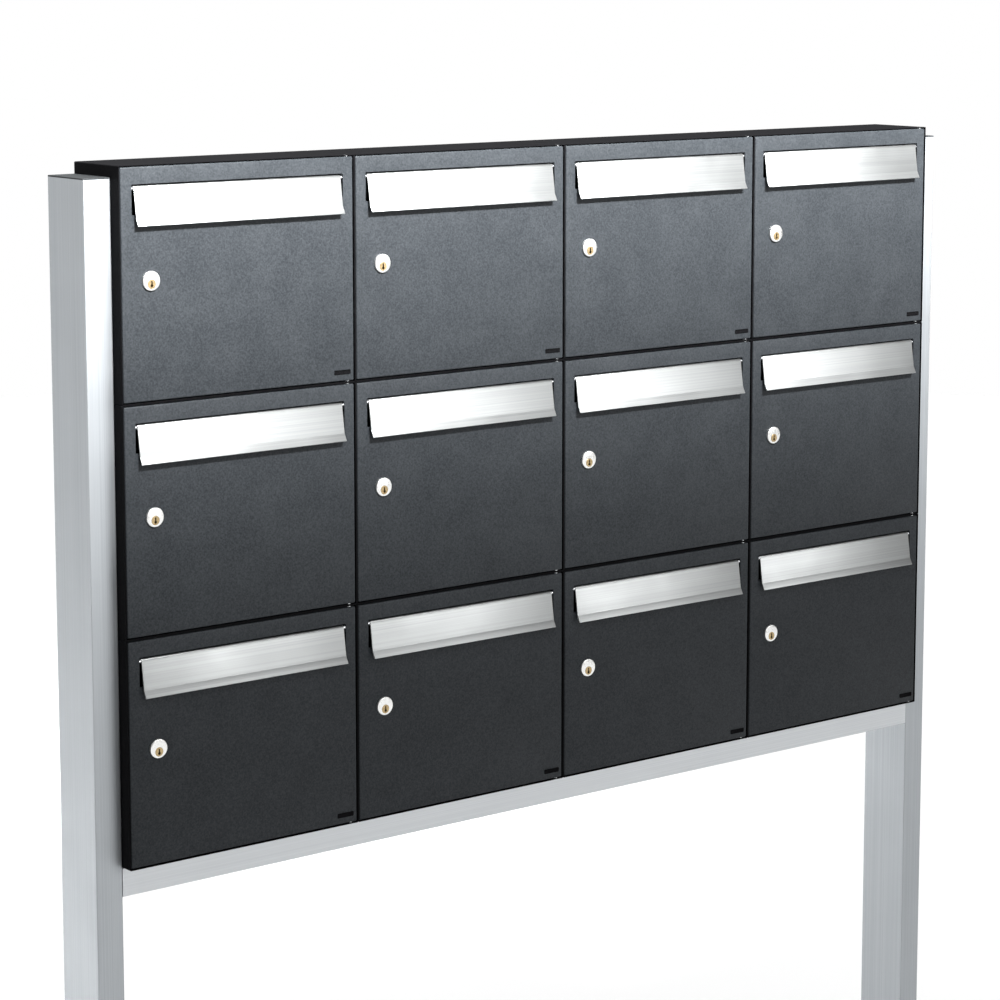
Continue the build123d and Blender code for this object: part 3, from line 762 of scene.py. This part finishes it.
soften(flap, FLAP_EDGE, 3)
print("flap sheet", len(flap.data.polygons), "faces")

# %% Bead and pads
PAD_HALF = 10.0
PAD_IN = 30.0
PAD_THICK = 1.6
STOP_GAP = 0.3
PRESSED = 0.02

bead = add_round("bead", (0, rod_y, rod_z), BEAD, 2 * FLAP_HALF, "x", 48)
bpy.ops.object.mode_set(mode="EDIT")
pick("edges", lambda place, edge: abs(place.x) > FLAP_HALF - NEAR)
bpy.ops.mesh.bevel(offset=0.3 * MM, segments=2, affect="EDGES")
bpy.ops.object.mode_set(mode="OBJECT")
pads = []
for side in (-1, 1):
    pad_x = side * (FLAP_HALF - PAD_IN)
    pad_top = slot_bottom - PAD_THICK / 2
    pad = add_block(
        "pad", (pad_x - PAD_HALF, FLAP_SHEET / 2 - FLAP_LEAN, pad_top - PAD_THICK),
        (pad_x + PAD_HALF, -STOP_GAP, pad_top),
    )
    pads.append(soften(pad, 0.3))
weld(flap, bead, *pads)
cut(flap, add_round("rod_bore", (0, rod_y, rod_z), ROD + PRESSED, LONG_DRILL, "x", 32))
complete(flap, "flap_aluminium", "flap_r1c1", ["flap_r1c1"])

# %% [markdown]
# The rod runs through the bead and both ears. A spacer at each end keeps the flap in the
# middle of the slot. It is turned in one piece here, from end to end.

# %% Flap rod
ROD_HALF = flap_high.x
SPACER = 2.5
spacer_in = FLAP_HALF + RUNNING
spacer_out = SLOT_HALF - RUNNING
EASE = 0.3
end_profile = [
    (ROD_HALF, 0), (ROD_HALF, ROD - EASE), (ROD_HALF - EASE, ROD), (spacer_out, ROD),
    (spacer_out, SPACER - EASE), (spacer_out - EASE, SPACER), (spacer_in + EASE, SPACER),
    (spacer_in, SPACER - EASE), (spacer_in, ROD),
]
rod_profile = end_profile + [(-distance, radius) for distance, radius in reversed(end_profile)]
rod = turn_piece("flap_rod_r1c1", (0, rod_y, rod_z), "x", rod_profile, 32)
complete(rod, "pin_steel", "flap_r1c1")

# %% [markdown]
# ## The lock
#
# A cam lock has a round rosette in front, a threaded barrel with two flats that stops it
# from turning in the door, and a big thin nut behind. The plug sits low in the barrel and
# carries the cam on its square tail. Rosette and barrel are turned from one outline. The
# thread is drawn as a row of small ridges, one every millimetre.

# %% Rosette and barrel
ROSETTE_HEIGHT = 3.0
BARREL_LENGTH = 17.4
ROSETTE_EDGE = 1.0
THREAD_DEPTH = 0.2
BEHIND_ROSETTE = 0.02
edge_steps = [math.radians(angle) for angle in (0, 22.5, 45, 67.5, 90)]
front_edge = [
    (
        -ROSETTE_HEIGHT + ROSETTE_EDGE * (1 - math.sin(angle)),
        ROSETTE - ROSETTE_EDGE * (1 - math.cos(angle)),
    )
    for angle in reversed(edge_steps)
]
thread = []
for ridge in range(1, int(BARREL_LENGTH) - 1):
    thread += [(ridge + 0.75, BARREL), (ridge + 1.25, BARREL - THREAD_DEPTH)]
housing_profile = [(-ROSETTE_HEIGHT, 0)] + front_edge + [(0, ROSETTE), (0, BARREL)] + thread
housing_profile += [(BARREL_LENGTH, BARREL - THREAD_DEPTH), (BARREL_LENGTH, 0)]
housing = turn_piece("lock_housing_r1c1", (lock_x, 0, lock_z), "y", housing_profile, 64)
flat_tools = []
for side in (-1, 1):
    near, far = sorted((side * BARREL_FLAT, side * (BARREL + 3)))
    flat_tools.append(add_block(
        "flat_tool", (lock_x + near, BEHIND_ROSETTE, lock_z - 15),
        (lock_x + far, BARREL_LENGTH + 1, lock_z + 15),
    ))
bore_middle = (lock_x, BARREL_LENGTH / 2, plug_z)
plug_bore = add_round("plug_bore", bore_middle, PLUG + RUNNING, 60, "y", 48)
cut(housing, plug_bore, *flat_tools)
complete(housing, "lock_nickel", "door_r1c1", ["lock_body_r1c1"])

# %% Lock nut
NUT_ACROSS = 27.0
NUT_HEIGHT = 4.0
nut = add_round(
    "lock_nut_r1c1", (lock_x, SHEET + NUT_HEIGHT / 2, lock_z),
    NUT_ACROSS / 2 / math.cos(math.pi / 6), NUT_HEIGHT, "y", 6,
)
cut(nut, add_round("nut_bore", (lock_x, SHEET, lock_z), BARREL + RUNNING, 20, "y", 64))
soften(nut, 0.5)
complete(nut, "zinc_steel", "door_r1c1")

# %% [markdown]
# The plug's face shows the keyhole: a narrow upright slot with a wider round at its foot.
# It is cut into the turned plug with two tools. Behind, the square tail carries the cam,
# which hangs down when the lock is open.

# %% Plug with its keyway
PLUG_FRONT = 3.3
PLUG_BACK = core_high.y - 5.1
KEY_SLOT = 8.4
KEY_WIDTH = 2.0
KEY_DEPTH = 14.0
KEY_ROUND = 2.0
KEY_CORNER = 0.6

plug_profile = [
    (-PLUG_FRONT, 0), (-PLUG_FRONT, PLUG - EASE), (EASE - PLUG_FRONT, PLUG),
    (PLUG_BACK, PLUG), (PLUG_BACK, 0),
]
plug = turn_piece("lock_plug_r1c1", (lock_x, 0, plug_z), "y", plug_profile)
key_tool = add_block(
    "key_tool", (lock_x - KEY_WIDTH / 2, -PLUG_FRONT - 1, plug_z - KEY_SLOT / 2),
    (lock_x + KEY_WIDTH / 2, KEY_DEPTH - PLUG_FRONT, plug_z + KEY_SLOT / 2),
)
bpy.ops.object.mode_set(mode="EDIT")
pick("edges", lambda place, edge: abs(place.x - lock_x) > NEAR and abs(place.z - plug_z) > NEAR)
bpy.ops.mesh.bevel(offset=KEY_CORNER * MM, segments=3, affect="EDGES")
bpy.ops.object.mode_set(mode="OBJECT")
key_drill = add_round(
    "key_drill", (lock_x, KEY_DEPTH / 2 - PLUG_FRONT, plug_z - KEY_SLOT / 2 + KEY_ROUND),
    KEY_ROUND, KEY_DEPTH, "y", 24,
)
cut(plug, key_tool, key_drill)
TAIL_HALF = 3.5
tail = add_block(
    "tail", (lock_x - TAIL_HALF, PLUG_BACK - 1, plug_z - TAIL_HALF),
    (lock_x + TAIL_HALF, PLUG_BACK + 2.3, plug_z + TAIL_HALF),
)
weld(plug, tail)
complete(plug, "lock_brass", "lock_r1c1", ["lock_core_r1c1"])

# %% Cam and its screw
CAM_THICK = 2.5
CAM_SCREW_HEAD = 4.5
CAM_SCREW_HEIGHT = 2.6

cam = add_block(
    "lock_cam_r1c1", (lock_x - CAM_HALF, PLUG_BACK, core_low.z),
    (lock_x + CAM_HALF, PLUG_BACK + CAM_THICK, core_high.z),
)
bpy.ops.object.mode_set(mode="EDIT")
pick("edges", lambda place, edge: abs(place.x - lock_x) > NEAR and place.z > core_high.z - NEAR)
bpy.ops.mesh.bevel(offset=(CAM_HALF - 0.01) * MM, segments=10, affect="EDGES")
pick("edges", lambda place, edge: abs(place.x - lock_x) > NEAR and place.z < core_low.z + NEAR)
bpy.ops.mesh.bevel(offset=CAM_HALF / 2 * MM, segments=5, affect="EDGES")
bpy.ops.object.mode_set(mode="OBJECT")
tail_low = (lock_x - TAIL_HALF - RUNNING, PLUG_BACK - 1, plug_z - TAIL_HALF - RUNNING)
tail_high = (lock_x + TAIL_HALF + RUNNING, PLUG_BACK + 4, plug_z + TAIL_HALF + RUNNING)
cut(cam, add_block("tail_tool", tail_low, tail_high))
soften(cam, 0.3)
complete(cam, "zinc_steel", "lock_r1c1")

seat = PLUG_BACK + CAM_THICK
screw_profile = [
    (seat - 1, 0), (seat - 1, 2.4), (seat, 2.4), (seat, CAM_SCREW_HEAD),
    (seat + 1.2, CAM_SCREW_HEAD), (seat + 2.1, 3.9), (seat + CAM_SCREW_HEIGHT, 2.6),
    (seat + CAM_SCREW_HEIGHT, 0),
]
cam_screw = turn_piece("cam_screw_r1c1", (lock_x, 0, plug_z), "y", screw_profile, 32)
cross = [
    add_block(
        "cross_tool", (lock_x - wide, seat + 1.1, plug_z - high),
        (lock_x + wide, seat + 4, plug_z + high),
    )
    for wide, high in ((0.45, 2.2), (2.2, 0.45))
]
cut(cam_screw, *cross)
complete(cam_screw, "zinc_steel", "lock_r1c1")

# %% [markdown]
# ## The name plate
#
# The doors of the top and bottom rows carry a small plate at their lower right corner.
# It is left blank here: a thin black coated strip with rounded corners.

# %% Blank plate
PLATE_LENGTH = 27.0
PLATE_HEIGHT = 6.5
PLATE_THICK = 0.6
PLATE_CORNER = 1.4
PLATE_RIM = 0.5
PLATE_SINK = 0.15
PLATE_IN_X = 6.0
PLATE_IN_Z = 9.0

plate_right = half - PLATE_IN_X
plate = add_block(
    "blank_plate_r1c1", (plate_right - PLATE_LENGTH, -PLATE_THICK, PLATE_IN_Z),
    (plate_right, 0, PLATE_IN_Z + PLATE_HEIGHT),
)
bpy.ops.object.mode_set(mode="EDIT")
pick("edges", lambda place, edge: abs(place.y + PLATE_THICK / 2) < NEAR)
bpy.ops.mesh.bevel(offset=PLATE_CORNER * MM, segments=4, affect="EDGES")
pick("faces", lambda place, face: face.normal.y < -0.9)
bpy.ops.mesh.inset(thickness=PLATE_RIM * MM)
bpy.ops.transform.translate(value=(0, PLATE_SINK * MM, 0))
bpy.ops.object.mode_set(mode="OBJECT")
soften(plate, 0.12)
complete(plate, "casing_paint", "door_r1c1")

# %% [markdown]
# ## Eleven more boxes
#
# Everything so far belongs to the first box. Each other box gets its own copy of every
# piece, with its own mesh, moved by the step from the first door to its door. Only the
# top and bottom rows get the plate.

# %% Copies
bench = {
    "door_sheet": (door, "door", "door"),
    "flap_sheet": (flap, "flap", "flap"),
    "flap_rod": (rod, "flap", None),
    "lock_housing": (housing, "door", "lock_body"),
    "lock_nut": (nut, "door", None),
    "lock_plug": (plug, "lock", "lock_core"),
    "lock_cam": (cam, "lock", None),
    "cam_screw": (cam_screw, "lock", None),
    "blank_plate": (plate, "door", None),
}
for tag in TAGS[1:]:
    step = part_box(f"door_{tag}")[0] - door_low
    for kind, (first, body, node) in bench.items():
        if kind == "blank_plate" and tag.startswith("r2"):
            continue
        copy = first.copy()
        copy.data = first.data.copy()
        copy.name = copy.data.name = f"{kind}_{tag}"
        bpy.context.scene.collection.objects.link(copy)
        for vertex in copy.data.vertices:
            vertex.co += step
        if "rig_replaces" in copy:
            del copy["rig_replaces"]
        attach(copy, f"{body}_{tag}")
        if node:
            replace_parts(copy, f"{node}_{tag}")

# %% [markdown]
# ## Measuring
#
# The box of the frame, kept at the start, is compared with the box of what is shown
# now, and the growth along each axis is printed in millimetres.

# %% Sizes
shown_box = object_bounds()
growth = [
    round((shown_box[1][axis] - shown_box[0][axis] - frame_box[1][axis] + frame_box[0][axis]) / MM, 2)
    for axis in range(3)
]
print("grown by", growth, "mm")
